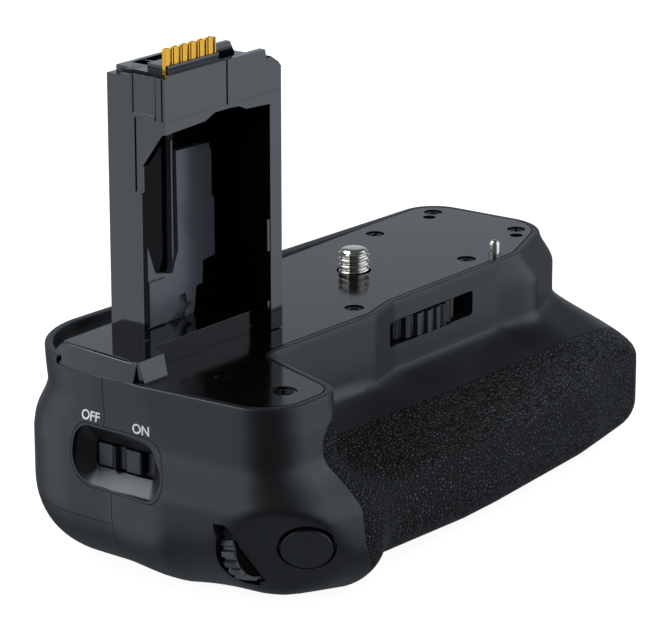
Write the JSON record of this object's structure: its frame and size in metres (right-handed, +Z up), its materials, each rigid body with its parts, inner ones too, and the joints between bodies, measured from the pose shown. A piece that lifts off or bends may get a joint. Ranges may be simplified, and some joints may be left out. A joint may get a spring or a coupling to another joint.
{
  "type": "camera battery grip",
  "caption": "Vertical battery grip for a camera: moulded housing with rubber front, clamping screw with thumbwheel, battery-well tower with contacts, sliding battery magazine and second controls.",
  "frame": {"origin": "axis of the camera screw at the top face of the deck", "axes": "+Z up along the camera screw, +X towards the magazine end, -X towards the control end, -Y towards the rubber front"},
  "size_m": [0.1397, 0.0746, 0.0988],
  "materials": {
    "housing_plastic": "fine spark-eroded texture, semi-matte black",
    "grip_rubber": "leather-like grain, matte black",
    "deck_paint": "satin dark grey paint",
    "black_steel": "blackened",
    "nickel": "bright nickel plating",
    "control_plastic": "satin black",
    "tower_plastic": "polished black",
    "liner_plastic": "satin dark grey",
    "contact_gold": "gold plated",
    "dial_plastic": "satin dark grey",
    "board": "green lacquer",
    "magazine_plastic": "semi-matte black",
    "steel": "plain steel"
  },
  "bodies": {
    "housing": {"front_shell": "housing_plastic", "rear_shell": "housing_plastic", "rubber_grip": "grip_rubber", "deck_plate": "deck_paint", "deck_screws": "black_steel", "locating_pin": "nickel", "wheel_bracket": "steel", "bottom_cover": "housing_plastic", "cover_screws": "black_steel", "tripod_socket": "nickel", "rubber_feet": "grip_rubber", "tower_base": "tower_plastic", "tower_frame": "tower_plastic", "tower_liner": "liner_plastic", "door_clip": "tower_plastic", "tower_cap": "tower_plastic", "contact_block": "tower_plastic", "contact_pins": "contact_gold", "switch_bezel": "housing_plastic", "slide_switch": "liner_plastic", "shutter_ring": "control_plastic", "shutter_switch": "liner_plastic", "dial_axle": "steel", "dial_holder": "liner_plastic", "main_board": "board", "rear_switches": "board", "bay_contacts": "contact_gold"},
    "wheel": {"thumbwheel": "control_plastic", "attach_screw": "nickel"},
    "slider": {"switch_slider": "control_plastic"},
    "release": {"shutter_button": "control_plastic"},
    "dial": {"command_dial": "dial_plastic"},
    "exposure": {"exposure_button": "control_plastic"},
    "lock": {"lock_button": "control_plastic"},
    "focus": {"focus_button": "control_plastic"},
    "magazine": {"magazine_tray": "magazine_plastic", "tray_contacts": "contact_gold", "magazine_cap": "magazine_plastic"},
    "latch": {"latch_knob": "control_plastic", "latch_tongue": "steel"}
  },
  "joints": [
    {"name": "wheel_turn", "type": "hinge", "parent": "housing", "child": "wheel", "pos_m": [0, 0, 0], "axis": [0, 0, 1], "continuous": true},
    {"name": "switch_slide", "type": "slide", "parent": "housing", "child": "slider", "axis": [0, -1, 0], "range_m": [0, 0.0025]},
    {"name": "release_press", "type": "slide", "parent": "housing", "child": "release", "axis": [0.7197, 0.5603, 0.4099], "range_m": [0, 0.001], "stiffness_N_per_m": 600},
    {"name": "dial_turn", "type": "hinge", "parent": "housing", "child": "dial", "pos_m": [-0.0766, -0.0355, -0.0273], "axis": [0, 0.9833, -0.1822], "continuous": true},
    {"name": "exposure_press", "type": "slide", "parent": "housing", "child": "exposure", "axis": [0, -1, 0], "range_m": [0, 0.0008], "stiffness_N_per_m": 600},
    {"name": "lock_press", "type": "slide", "parent": "housing", "child": "lock", "axis": [0, -1, 0], "range_m": [0, 0.0008], "stiffness_N_per_m": 600},
    {"name": "focus_press", "type": "slide", "parent": "housing", "child": "focus", "axis": [0, -1, 0], "range_m": [0, 0.0008], "stiffness_N_per_m": 600},
    {"name": "magazine_slide", "type": "slide", "parent": "housing", "child": "magazine", "axis": [1, 0, 0], "range_m": [0, 0.104]},
    {"name": "latch_turn", "type": "hinge", "parent": "magazine", "child": "latch", "pos_m": [0.05, -0.00105, -0.025], "axis": [1, 0, 0], "range_deg": [0, 90]}
  ]
}
